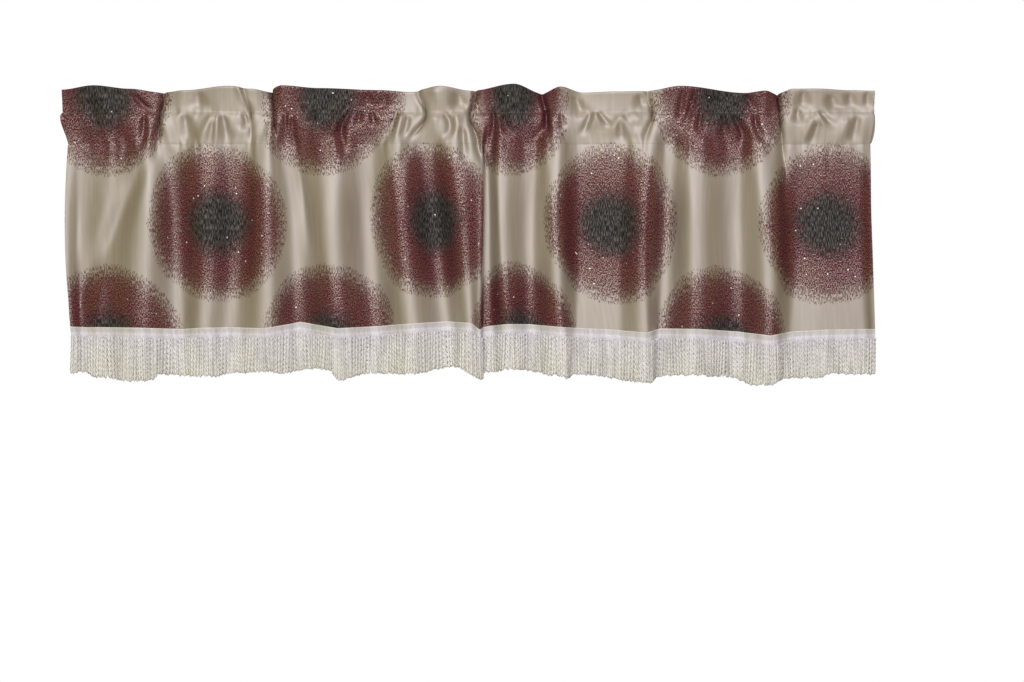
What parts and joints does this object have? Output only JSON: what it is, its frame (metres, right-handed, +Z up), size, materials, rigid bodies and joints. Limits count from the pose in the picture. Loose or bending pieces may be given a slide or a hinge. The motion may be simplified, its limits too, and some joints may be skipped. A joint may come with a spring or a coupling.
{
  "type": "straight valance",
  "caption": "Straight window valance gathered on a rod pocket, with a ruffled heading, uneven hanging folds, large soft-edged dots and a braid with bullion fringe along the hem.",
  "frame": {"origin": "middle of the top edge", "axes": "+X along the width, to the right as seen from the room, +Y from the room towards the window, +Z up"},
  "size_m": [1.3021, 0.0472, 0.4814],
  "materials": {
    "cloth": "champagne satin with woven soft-edged dots, dark grey in the middle, deep red around it",
    "fringe": "ivory twisted bullion and ribbed braid"
  },
  "bodies": {
    "root": {"heading": "cloth", "skirt": "cloth", "fringe": "fringe"}
  },
  "joints": []
}
